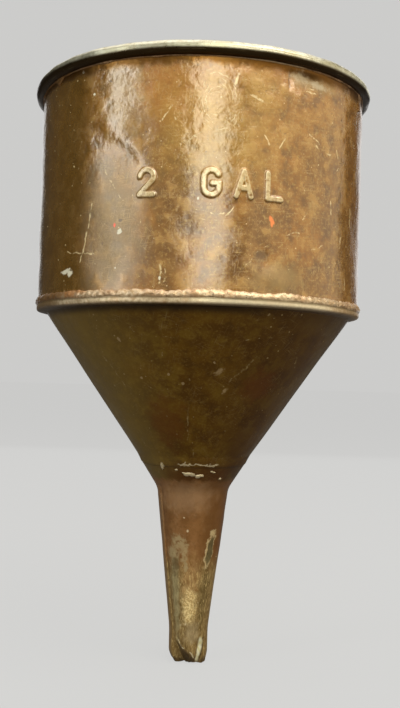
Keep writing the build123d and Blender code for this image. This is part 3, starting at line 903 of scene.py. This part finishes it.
    # Darker band just under the rim: partly grime, partly painted shade under the bead.
    grime_and_under_rim_shade = f.step(f.height + (cloud - 0.5) * 9, BEAD_FOOT - 7.5, BEAD_FOOT - 2.5)
    f.paint(grime_and_under_rim_shade, (0.135, 0.052, 0.004), 0.85)
    # Pale smear under the rim's dent on the right: partly a smear, partly a painted highlight of the dented
    # facet.
    smear = f.patches(
        ((60, 391.6), (7, 2.6), -6, 0.8, 3, 0.8), ((73, 390.2), (9, 2), -8, 0.8, 3, 0.8),
    )
    f.paint(smear, (0.66, 0.53, 0.35), 0.62)
    inside_dull(f)

    rough = f.varied(cloud, 0.19, 0.29)
    hazy = dull_film_and_sheen * f.step(f.height, 350, 335)
    rough = rough + f.either(worn, pale) * 0.12 + hazy * 0.16 + grime_and_under_rim_shade * 0.1
    metallic = 0.16 - f.either(pale, dark * 0.5) * 0.16 + grime_and_under_rim_shade * 0.72
    waves = f.spread(f.step(f.height, 318, 350), 0.36, 0.8)
    bump = cloud * waves + grain * 0.055 + streak * 0.03 - hatch * 0.022
    coat = f.spread(dull_film_and_sheen * f.step(f.height, 340, 318), 0.45, 0.06) * f.spread(grime_and_under_rim_shade, 1, 0)
    return f.finish(rough, metallic, bump, 1, IOR=1.9, Coat_Weight=coat, Coat_Roughness=0.16)


def mark_top_wear_and_highlight(f):
    """Share on top of the raised mark, which the mesh stores as proud, that is partly worn bright and partly
    a painted highlight.
    """
    proud = f.add("Attribute", settings={"attribute_type": "GEOMETRY", "attribute_name": "proud"})
    return f.step(proud.outputs["Fac"], 0.55, 0.9) * f.step(f.noise(2.5, 3), 0.28, 0.55)


def inside_dull(f):
    """Darker, greener fuel-stained copper on the faces that look towards the axis."""
    stain = f.mix(f.step(f.noise(12, 5), 0.35, 0.65), (0.16, 0.1, 0.04), (0.3, 0.19, 0.08))
    normal = f.add("NewGeometry").outputs["Normal"]
    spoke = f.vector("NORMALIZE", f.vector("MULTIPLY", f.place, (1, 1, 0)))
    f.paint(f.step(f.vector("DOT_PRODUCT", normal, spoke), 0.05, -0.05), stain)


def cone_patina(f):
    """Paint olive-brown patina, with painted shade on the right and a painted sheen on the left, and with
    scratches and flecks. Gives grain and marks.
    """
    broad = f.noise(30, 4)
    mottle = f.noise(5, 6, 0.65)
    grain = f.noise(1.6, 4, 0.6)
    cloud = f.noise(13, 4, 0.6)
    f.colour = f.mix(f.step(broad, 0.38, 0.62), (0.1, 0.04, 0.001), (0.155, 0.07, 0.003))
    f.paint(f.step(cloud, 0.5, 0.66), (0.21, 0.115, 0.01), 0.6)
    f.paint(f.step(cloud, 0.48, 0.34), (0.075, 0.029, 0.001), 0.6)
    f.paint(f.step(mottle, 0.5, 0.7), (0.23, 0.125, 0.014), 0.55)
    f.paint(f.step(grain, 0.52, 0.72), (0.28, 0.165, 0.035), 0.4)
    # Painted shade: darker on the right side as seen from the front.
    right = f.step(f.azimuth + broad * 0.5, 0.2, 0.95) * f.ahead
    f.paint(right, (0.055, 0.02, 0.001), 0.55)
    # Painted sheen: lighter and greener on the left side as seen from the front.
    left = f.step(f.azimuth + broad * 0.5, 0.1, -0.75) * f.ahead
    f.paint(left, (0.27, 0.18, 0.042), 0.55)
    red = f.step(f.math("ABSOLUTE", f.azimuth), 0.9, 0.45) * f.step(f.height, 146, 134)
    f.paint(red, (0.11, 0.032, 0.003), 0.65)
    hatch = f.either(
        f.hatching(75, 9, 0.45, 0.7, 5), f.hatching(-30, 7, 0.4, 0.65, 6), f.hatching(20, 10, 0.4, 0.65, 7),
    ) * f.step(f.noise(16, 3), 0.44, 0.6)
    marks = f.either(f.flecks(7, 0.8, 0.24), f.flecks(3.6, 0.5, 0.14), hatch * 0.35)
    f.paint(marks, (0.42, 0.3, 0.14), 0.7)
    return mottle, marks


def cone_copper():
    """Copper of the cone, with its flange and collar tinned and worn pale, a painted highlight across the
    collar's front, painted shade towards its ends and under the solder's foot, and shade under the flange.
    """
    f = Finish("aged_copper_cone", 70)
    mottle, marks = cone_patina(f)
    edge = f.step(f.azimuth + (f.noise(22, 5, 0.6) - 0.5) * 1.6, 0.8, 1.45) * f.ahead
    f.paint(edge, (0.2, 0.135, 0.045), 0.32)
    red = f.patches(((-26, 171), (14, 15), 0, 0.5, 7, 0.6), ((37, 197), (10, 9), 0, 0.5, 6, 0.6))
    f.paint(red, (0.13, 0.036, 0.003), 0.6)
    scars = f.scratches([
        ((16.4, 199.8), (26.9, 214), 0.95), ((-8.9, 184), (-9.9, 160), 0.9),
        ((-3.9, 153), (-3.8, 148.5), 1.1), ((-21.8, 219.5), (-21.6, 215), 0.6),
        ((-36, 238), (-34, 230), 0.7), ((-44, 240), (-38, 236), 0.5), ((-58, 214), (-50, 190), 0.7),
        ((-30, 228), (-16, 226), 0.5), ((-63, 163), (-62, 155), 1), ((52, 222), (60, 206), 0.6),
        ((20, 226), (34, 229), 0.45),
    ]) * f.step(f.noise(1.8, 4, 0.65), 0.4, 0.6)
    spots = f.patches(
        ((9.6, 205.9), (1.5, 2.6), -30, 0.7, 1.6, 0.5), ((15.4, 193), (1.1, 2.2), -20, 0.7, 1.6, 0.5),
        ((-42.6, 225.4), (0.8, 1.6), 0, 0.2), ((5.9, 212), (0.8, 0.8)), ((27.1, 241.6), (0.7, 0.8)),
        ((-11.8, 197.6), (1, 0.8)), ((-20, 204), (0.7, 0.7)), ((-36.7, 200.5), (0.7, 0.8)),
    )
    f.paint(scars, (0.4, 0.29, 0.135), 0.65)
    f.paint(spots, (0.42, 0.285, 0.14), 0.75)
    shade = f.step(f.height, SHOULDER - 7, SHOULDER - 2) * f.step(f.azimuth, 0.55, 0.15)
    f.paint(shade, (0.02, 0.008, 0.001), 0.8)

    patina = f.colour
    fine = f.noise(2.4, 5, 0.6)
    f.colour = f.mix(f.step(fine, 0.35, 0.65), (0.5, 0.35, 0.2), (0.78, 0.61, 0.4))
    f.paint(f.step(f.noise(8, 4), 0.5, 0.66), (0.5, 0.27, 0.12), 0.5)
    # Collar: a painted highlight across its front and right, then painted shade towards its right and left
    # ends.
    bright = f.step(f.azimuth, -0.18, 0.08) * f.step(f.azimuth, 0.9, 0.66)
    f.paint(bright, (0.92, 0.78, 0.55), 0.62)
    f.paint(f.step(f.azimuth, 0.7, 0.95), (0.4, 0.25, 0.12), 0.65)
    f.paint(f.step(f.azimuth, -0.88, -1.08) * f.ahead, (0.2, 0.105, 0.03), 0.8)
    # Painted shade in the gap just under the solder's foot.
    gap = f.step(f.height, SOLDER_FOOT - 1.5, SOLDER_FOOT - 0.3)
    f.paint(gap, (0.16, 0.095, 0.03), 0.7)
    collar = f.step(f.height, SHOULDER - 1.2, SHOULDER + 0.4)
    f.colour = f.mix(collar, patina, f.colour)
    rough = f.varied(mottle, 0.3, 0.42)
    bump = mottle * 0.4 + marks * 0.2 + collar * fine * 0.5
    metallic = f.spread(collar, 0.3, 0.45)
    return f.finish(rough, metallic, bump, 0.14, IOR=1.38, Coat_Weight=0.05, Coat_Roughness=0.25)


def spout_copper():
    """Reddish brown spout under the cone's patina at its flare, worn to gold and grey-green below, with
    painted shade on its right, in a dent and at the folded nose, and painted highlights on the nose's crest
    and facet.
    """
    f = Finish("aged_copper_spout", 20)
    mottle, _ = cone_patina(f)
    flare = f.colour
    broad = f.noise(13, 4)
    grain = f.noise(2.6, 5, 0.62)
    rough_grain = f.step(f.noise(2.3, 5, 0.6, stretch=2, turn=90), 0.3, 0.7)
    f.colour = f.mix(f.step(broad, 0.35, 0.65), (0.235, 0.098, 0.026), (0.34, 0.155, 0.05))
    f.paint(f.step(mottle, 0.5, 0.7), (0.42, 0.225, 0.095), 0.55)
    f.paint(f.step(grain, 0.52, 0.34), (0.15, 0.062, 0.012), 0.35)
    # Painted shade: darker on the right side as seen from the front.
    right = f.step(f.azimuth + broad * 0.8, 0.45, 1) * f.ahead
    f.paint(right, (0.145, 0.055, 0.008), 0.7)
    top = f.step(f.height + mottle * 10, 134, 137.5)
    haze = f.patch((-4, 119), (15, 10), 0, 0.5, 6, 0.7)
    f.paint(haze, (0.44, 0.27, 0.15), 0.42)
    f.paint(top, flare)

    low = f.step(f.height + mottle * 26, 92, 76)
    f.paint(low, f.mix(rough_grain, (0.2, 0.125, 0.035), (0.42, 0.29, 0.115)), 0.75)
    warm = f.patch((-1, 62), (7, 16), 0, 0.5, 5, 0.6)
    f.paint(warm, f.mix(rough_grain, (0.34, 0.165, 0.05), (0.58, 0.33, 0.13)), 0.7)
    gold = f.patches(
        ((-1.6, 41), (6, 12.5), 0, 0.6, 4, 0.7), ((-2, 37), (4.4, 8), 0, 0.6, 3, 0.6),
    )
    glitter = f.step(f.noise(1.3, 4, 0.65), 0.36, 0.64)
    f.paint(gold, f.mix(glitter, (0.5, 0.295, 0.095), (1, 0.78, 0.4)), 0.85)
    shady = f.patch((11.8, 46), (3.8, 24), -3, 0.5, 4, 0.5)
    f.paint(shady, f.mix(rough_grain, (0.125, 0.078, 0.022), (0.26, 0.18, 0.07)), 0.6)
    streak = f.either(
        f.hatching(88, 6, 0.8, 0.75, 8), f.hatching(62, 4, 0.7, 0.65, 9), f.hatching(-68, 5, 0.7, 0.6, 10),
    )
    f.paint(low * streak, (0.88, 0.64, 0.28), 0.6)
    grey = f.patch((-14, 50), (3.2, 28), 0, 0.5, 4, 0.6)
    f.paint(grey, f.mix(rough_grain, (0.34, 0.265, 0.12), (0.6, 0.485, 0.255)), 0.75)
    dull = f.patch((2, 22.5), (7.5, 7), 0, 0.5, 4, 0.5)
    f.paint(dull, f.mix(rough_grain, (0.32, 0.225, 0.11), (0.5, 0.37, 0.205)), 0.7)
    pale = f.patches(
        ((-9, 86), (4.6, 5.5), 8, 0.6, 3, 0.4), ((-6, 79), (2.4, 6), 0, 0.6, 2.5, 0.4),
        ((-15, 79), (5, 3.4), -10, 0.6, 2.5, 0.4), ((-5, 70), (1.6, 4), 0, 0.5, 2, 0.4),
    ) * f.step(grain, 0.3, 0.52)
    f.paint(pale, (0.42, 0.31, 0.155), 0.75)
    under = f.patch((-13, 70), (3, 6.5), 0, 0.6, 3, 0.4)
    f.paint(under, (0.12, 0.07, 0.02), 0.6)
    # Dent on the right: painted shade inside it and a painted highlight round its rim.
    hollow = f.patch((13.4, 81.5), (2.9, 10), -9, 0.25, 4, 0.15)
    dent_rim_painted_highlight = f.patch((13, 82.5), (4, 12.6), -9, 0.3, 4, 0.12) * (1 - hollow)
    f.paint(hollow, f.mix(rough_grain, (0.075, 0.055, 0.018), (0.15, 0.115, 0.045)), 0.9)
    f.paint(dent_rim_painted_highlight * f.step(grain, 0.34, 0.5), (0.62, 0.46, 0.24))
    specks = f.either(
        f.flecks(6, 0.6, 0.22),
        f.patches(((-5.8, 104.9), (0.6, 0.7)), ((-3.2, 95.2), (0.6, 0.6)), ((-4.6, 28), (0.6, 0.9))),
    )
    f.paint(specks, (0.7, 0.56, 0.36), 0.75)
    seam = f.step(f.math("ABSOLUTE", f.azimuth + math.radians(72.5)), 0.165, 0.15)
    f.paint(seam * f.step(f.height, 126, 112), (0.36, 0.21, 0.1), 0.55)
    # Folded hollow at the nose and the lip: darker, partly dirt and partly painted shade.
    fold = f.step(f.height + f.arc * 0.55, 9.5, 7) * f.step(f.arc, 8.5, 7) * f.step(f.arc, -15.5, -12)
    nose_dirt_and_shade = f.either(fold, f.step(f.height + grain * 4, 7, 3.5))
    f.paint(nose_dirt_and_shade, f.mix(rough_grain, (0.08, 0.046, 0.018), (0.18, 0.11, 0.045)), 0.85)
    # Painted highlight along the crest of the folded nose.
    crest_painted_highlight = f.scratches([
        ((-13.5, 17.5), (-9, 12.6), 0.75), ((-9, 12.6), (0.5, 8), 0.65),
        ((0.5, 8), (6, 4.6), 0.9),
    ])
    f.paint(crest_painted_highlight * f.step(grain, 0.3, 0.44), (0.8, 0.66, 0.42))
    # Painted highlight on the nose's bent facet, with painted shade lines beside it.
    bright = f.scratches([((12.9, 16.6), (11, 4), 3.8)])
    f.paint(bright, f.mix(f.step(grain, 0.4, 0.6), (0.9, 0.8, 0.46), (0.98, 0.93, 0.7)), 0.95)
    facet_side_painted_shade = f.scratches([((9.1, 18), (7.4, 5), 0.7), ((16.4, 18), (14.6, 4), 1)])
    f.paint(facet_side_painted_shade, (0.05, 0.03, 0.01), 0.8)
    rough = f.varied(mottle, 0.3, 0.46)
    metallic = 0.32 - f.either(pale, hollow, specks, gold) * 0.28
    bump = mottle * 0.45 + grain * 0.25 + streak * low * 0.25
    return f.finish(rough, metallic, bump, 0.13, IOR=1.45, Coat_Weight=0.1, Coat_Roughness=0.3)


def rim_brass():
    """Pale tarnished brass of the rim, with painted shade on its underside and on its lower flank over the
    left and middle, and a painted highlight at its right end.
    """
    f = Finish("tarnished_brass_rim", BEAD_CENTRE)
    mottle = f.noise(3, 5, 0.6)
    f.colour = f.mix(f.step(mottle, 0.35, 0.7), (0.5, 0.455, 0.325), (0.68, 0.645, 0.515))
    f.paint(f.step(f.noise(14, 4), 0.5, 0.66), (0.38, 0.32, 0.17), 0.5)
    level = f.height - BEAD_HEIGHT
    # Painted shade on the lower flank, over the left and middle.
    flank = f.step(level, 2.3, 1.3) * f.step(f.azimuth, 0.55, 0.15)
    f.paint(flank, (0.36, 0.32, 0.21), 0.5)
    # Painted highlight at the right end.
    end = f.step(f.azimuth, 0.8, 1.1) * f.ahead
    f.paint(end, (0.95, 0.92, 0.74), 0.6)
    # Painted shade on the underside of the bead.
    f.paint(f.step(level, 0.3, -1.7), (0.04, 0.021, 0.005))
    nicks = f.either(f.flecks(5, 0.5, 0.2), f.hatching(2, 18, 0.4, 0.5, 11))
    f.paint(nicks, (0.2, 0.15, 0.07), 0.5)
    rough = f.varied(mottle, 0.26, 0.42)
    bump = mottle * 0.5 - nicks * 0.4
    return f.finish(rough, 0.75, bump, 0.1, IOR=1.5)


def solder(name, stained, bright):
    """Dull solder stained brown, with pits, a painted highlight at the front right and painted shade towards
    the left.
    """
    f = Finish(name, DRUM_R)
    mottle = f.noise(2.2, 5, 0.65)
    broad = f.noise(17, 4)
    f.colour = f.mix(f.step(mottle, 0.35, 0.65), stained, bright)
    f.paint(f.step(broad, 0.42, 0.62), (0.46, 0.23, 0.1), 0.5)
    # Painted highlight on the front right.
    solder_painted_highlight = f.step(f.arc, 8, 24) * f.step(f.arc, 68, 46)
    f.paint(solder_painted_highlight, (0.76, 0.6, 0.38), 0.4)
    # Painted shade towards the left.
    f.paint(f.step(f.arc, -92, -112) * f.ahead, (0.2, 0.085, 0.015), 0.8)
    rust = f.patches(((-86, 257), (7, 3.5), 0, 0.5, 3, 0.5), ((-98, 254), (6, 3), 0, 0.5, 3, 0.5))
    f.paint(rust, (0.48, 0.18, 0.035), 0.65)
    pits = f.either(f.flecks(2.4, 0.5, 0.25), f.step(f.noise(1.6, 4), 0.6, 0.7))
    f.paint(pits, (0.16, 0.075, 0.025), 0.6)
    rough = f.spread(mottle, 0.26, 0.5)
    bump = mottle - pits * 0.5
    return f.finish(rough, 0.5, bump, 0.3, IOR=1.5, Coat_Weight=0.3, Coat_Roughness=0.2)


def neck_solder_metal():
    """Solder at the neck: under the cone's patina all round, with a scraped pale line at the front."""
    f = Finish("neck_solder_metal", 40)
    mottle, _ = cone_patina(f)
    wave = (f.noise(5, 4, 0.6) - 0.5) * 9
    line = f.math("ABSOLUTE", f.height - (FLARE_TOP + 0.9) - wave)
    front = f.step(f.math("ABSOLUTE", f.azimuth - 0.04), 0.4, 0.33)
    scraped = front * f.step(line, 0.75, 0.35)
    drops = f.step(f.height, FLARE_TOP - 1.4, FLARE_TOP - 1.9)
    side_drop = f.patch((-27.4, 140.4), (1.7, 3.4), 0, 0.25, 2)
    pale = f.either(scraped * 0.95, drops * 0.9, side_drop * 0.85)
    f.paint(pale, (0.68, 0.55, 0.35))
    return f.finish(f.spread(mottle, 0.35, 0.55), 0.3, mottle, 0.15, IOR=1.45)


def plain_metal(name, dark, light, size, roughness):
    """Worked metal with mottling, fine marks and stains, for the small pieces."""
    f = Finish(name, 40)
    mottle = f.noise(size, 5, 0.6)
    f.colour = f.mix(f.step(mottle, 0.35, 0.68), dark, light)
    stain = f.step(f.noise(size * 4, 4), 0.52, 0.68)
    f.paint(stain, tuple(0.45 * c for c in dark), 0.55)
    marks = f.hatching(20, 10, 0.3, 0.6, 12)
    f.paint(marks, tuple(min(1, 1.25 * c) for c in light), 0.4)
    rough = f.varied(mottle, roughness, roughness + 0.16)
    bump = mottle * 0.6 - marks * 0.3
    return f.finish(rough, 0.9, bump, 0.06, IOR=1.5)


# ---------------------------------------------------------------- stage, lights and camera

def outward(azimuth, elevation):
    """Unit vector at an azimuth, counted from the camera's side, and an elevation."""
    a, e = math.radians(azimuth + CAMERA_AZIMUTH), math.radians(elevation)
    return Vector((math.sin(a) * math.cos(e), -math.cos(a) * math.cos(e), math.sin(e)))


def panel(name, azimuth, elevation, distance, width, height, radiance, colour=(1.0, 1.0, 1.0)):
    """Soft rectangular studio light that faces the object; width and height are the degrees it spans."""
    across = 2 * distance * math.tan(math.radians(width / 2))
    tall = 2 * distance * math.tan(math.radians(height / 2))
    light = bpy.data.lights.new(name, "AREA")
    light.shape = "RECTANGLE"
    light.size, light.size_y = across, tall
    light.energy = radiance * math.pi * across * tall
    light.color = colour
    lamp = bpy.data.objects.new(name, light)
    target = Vector((0, 0, LIGHT_AIM))
    lamp.location = target + outward(azimuth, elevation) * distance
    lamp.rotation_euler = (target - lamp.location).to_track_quat("-Z", "Y").to_euler()
    lamp.visible_camera = False
    bpy.context.scene.collection.objects.link(lamp)


def lights():
    """Soft panels that the polished sheet reflects, with a key light above the front."""
    panel("front_panel", 5.5, 17, 1.5, 22, 40, 4.0, (0.92, 0.99, 0.87))
    panel("left_strip", -57, 14, 1.5, 12, 46, 4.6, (0.92, 1.0, 1.0))
    panel("left_strip_dim", -43, 14, 1.5, 12, 46, 0.65)
    panel("left_front_fill", -25, 14, 1.5, 22, 46, 0.36, (1.0, 0.96, 0.80))
    panel("right_wall", 72, 14, 1.5, 84, 60, 0.80, (1.0, 0.93, 0.72))
    panel("rear_wall", 178, 20, 1.8, 60, 50, 1.0)
    panel("key", 42, 44, 1.6, 52, 26, 4.2, (1.0, 0.97, 0.86))
    panel("overhead", 0, 84, 1.5, 76, 76, 1.9, (1.0, 0.99, 0.95))


def camera_sees(tree, seen, otherwise, output):
    """Connect one shader for the camera's rays and another for the rest."""
    choice = tree.nodes.new("ShaderNodeMixShader")
    path = tree.nodes.new("ShaderNodeLightPath")
    tree.links.new(path.outputs["Is Camera Ray"], choice.inputs[0])
    tree.links.new(otherwise.outputs[0], choice.inputs[1])
    tree.links.new(seen.outputs[0], choice.inputs[2])
    tree.links.new(choice.outputs[0], tree.nodes[output].inputs["Surface"])


def world():
    """Pale to the camera, dim to everything else."""
    made = bpy.data.worlds.new("studio")
    made.use_nodes = True
    pale = made.node_tree.nodes["Background"]
    pale.inputs["Color"].default_value = (0.605, 0.603, 0.593, 1)
    dim = made.node_tree.nodes.new("ShaderNodeBackground")
    dim.inputs["Color"].default_value = (0.05, 0.048, 0.044, 1)
    camera_sees(made.node_tree, pale, dim, "World Output")
    bpy.context.scene.world = made


def floor():
    """Plain pale floor, round, that looks dimmer in reflections than to the camera."""
    reach, level, count = 30.0, -0.0004, 64
    turns = [2 * math.pi * k / count for k in range(count)]
    points = [(reach * math.cos(t), reach * math.sin(t), level) for t in turns]
    mesh = bpy.data.meshes.new("floor")
    mesh.from_pydata(points, [], [list(range(count))])
    piece = bpy.data.objects.new("floor", mesh)
    bpy.context.scene.collection.objects.link(piece)
    material = bpy.data.materials.new("pale_floor")
    material.use_nodes = True
    nodes = material.node_tree.nodes
    lit = nodes["Principled BSDF"]
    lit.inputs["Base Color"].default_value = (0.06, 0.06, 0.06, 1)
    lit.inputs["Roughness"].default_value = 1.0
    lit.inputs["Specular IOR Level"].default_value = 0.0
    lit.inputs["Emission Color"].default_value = (0.590, 0.588, 0.578, 1)
    lit.inputs["Emission Strength"].default_value = 1.0
    dark = nodes.new("ShaderNodeBsdfDiffuse")
    dark.inputs["Color"].default_value = (0.14, 0.13, 0.12, 1)
    camera_sees(material.node_tree, lit, dark, "Material Output")
    mesh.materials.append(material)


def camera():
    """Camera at the photograph's viewing angle."""
    data = bpy.data.cameras.new("camera")
    data.lens = LENS
    data.sensor_width = FILM
    data.clip_end = 100
    forward = Vector(EYE_AHEAD).normalized()
    up = Vector(EYE_UP)
    right = forward.cross(up).normalized()
    up = right.cross(forward)
    turn = Matrix((right, up, -forward)).transposed().to_4x4()
    place = Matrix.Translation(Vector(EYE) * MM) @ turn
    eye = bpy.data.objects.new("camera", data)
    eye.matrix_world = Matrix.Rotation(math.radians(CAMERA_AZIMUTH), 4, "Z") @ place
    bpy.context.scene.collection.objects.link(eye)
    bpy.context.scene.camera = eye


# ---------------------------------------------------------------- the model

def stand_for(piece, node, material, body="funnel"):
    """Put a piece in a CAD node's place, riding on its body."""
    piece.data.materials.append(material)
    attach(piece, body)
    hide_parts(node)


def dress(node, material):
    """Give a CAD node that keeps its shape a better material."""
    piece = frame["nodes"][node]
    piece.data.materials.clear()
    piece.data.materials.append(material)


bpy.context.scene.view_settings.view_transform = "Standard"
camera()
world()
lights()
floor()

drum = drum_copper()
cone = cone_copper()
spout = spout_copper()
brass = rim_brass()
band = solder("stained_solder", (0.44, 0.27, 0.13), (0.74, 0.55, 0.35))
rim_run = solder("browned_solder", (0.16, 0.075, 0.025), (0.36, 0.22, 0.11))
steel = plain_metal("drawn_steel_wire", (0.25, 0.24, 0.23), (0.45, 0.44, 0.43), 2.0, 0.3)
strainer_metal = plain_metal("strainer_brass_sheet", (0.40, 0.27, 0.10), (0.62, 0.46, 0.20), 4.0, 0.28)
gauze_metal = plain_metal("gauze_brass_wire", (0.36, 0.25, 0.11), (0.56, 0.42, 0.20), 6.0, 0.32)
rivet_metal = plain_metal("rivet_copper_metal", (0.42, 0.19, 0.09), (0.66, 0.34, 0.18), 1.5, 0.28)

stand_for(drum_wall(), "drum_wall", drum)
stand_for(rim_bead(), "rim_bead", brass)
stand_for(rim_wire(), "rim_wire", steel)
stand_for(rim_solder(), "rim_solder", rim_run)
stand_for(cone_sheet(), "cone", cone)
stand_for(shoulder_solder(), "shoulder_solder", band)
stand_for(spout_tube(), "spout", spout)
stand_for(neck_solder(), "neck_solder", neck_solder_metal())
stand_for(woven_gauze(), "strainer_gauze", gauze_metal, "strainer")
stand_for(domed_rivets(), "strainer_rivets", rivet_metal, "strainer")

for node in ("drum_seam_solder", "cone_seam_solder", "inner_shoulder_solder", "inner_neck_solder"):
    dress(node, band)
for node in ("strainer_ledge", "strainer_frame", "strainer_clamp_ring", "strainer_cross_bars",
             "strainer_washer", "strainer_loop"):
    dress(node, strainer_metal)
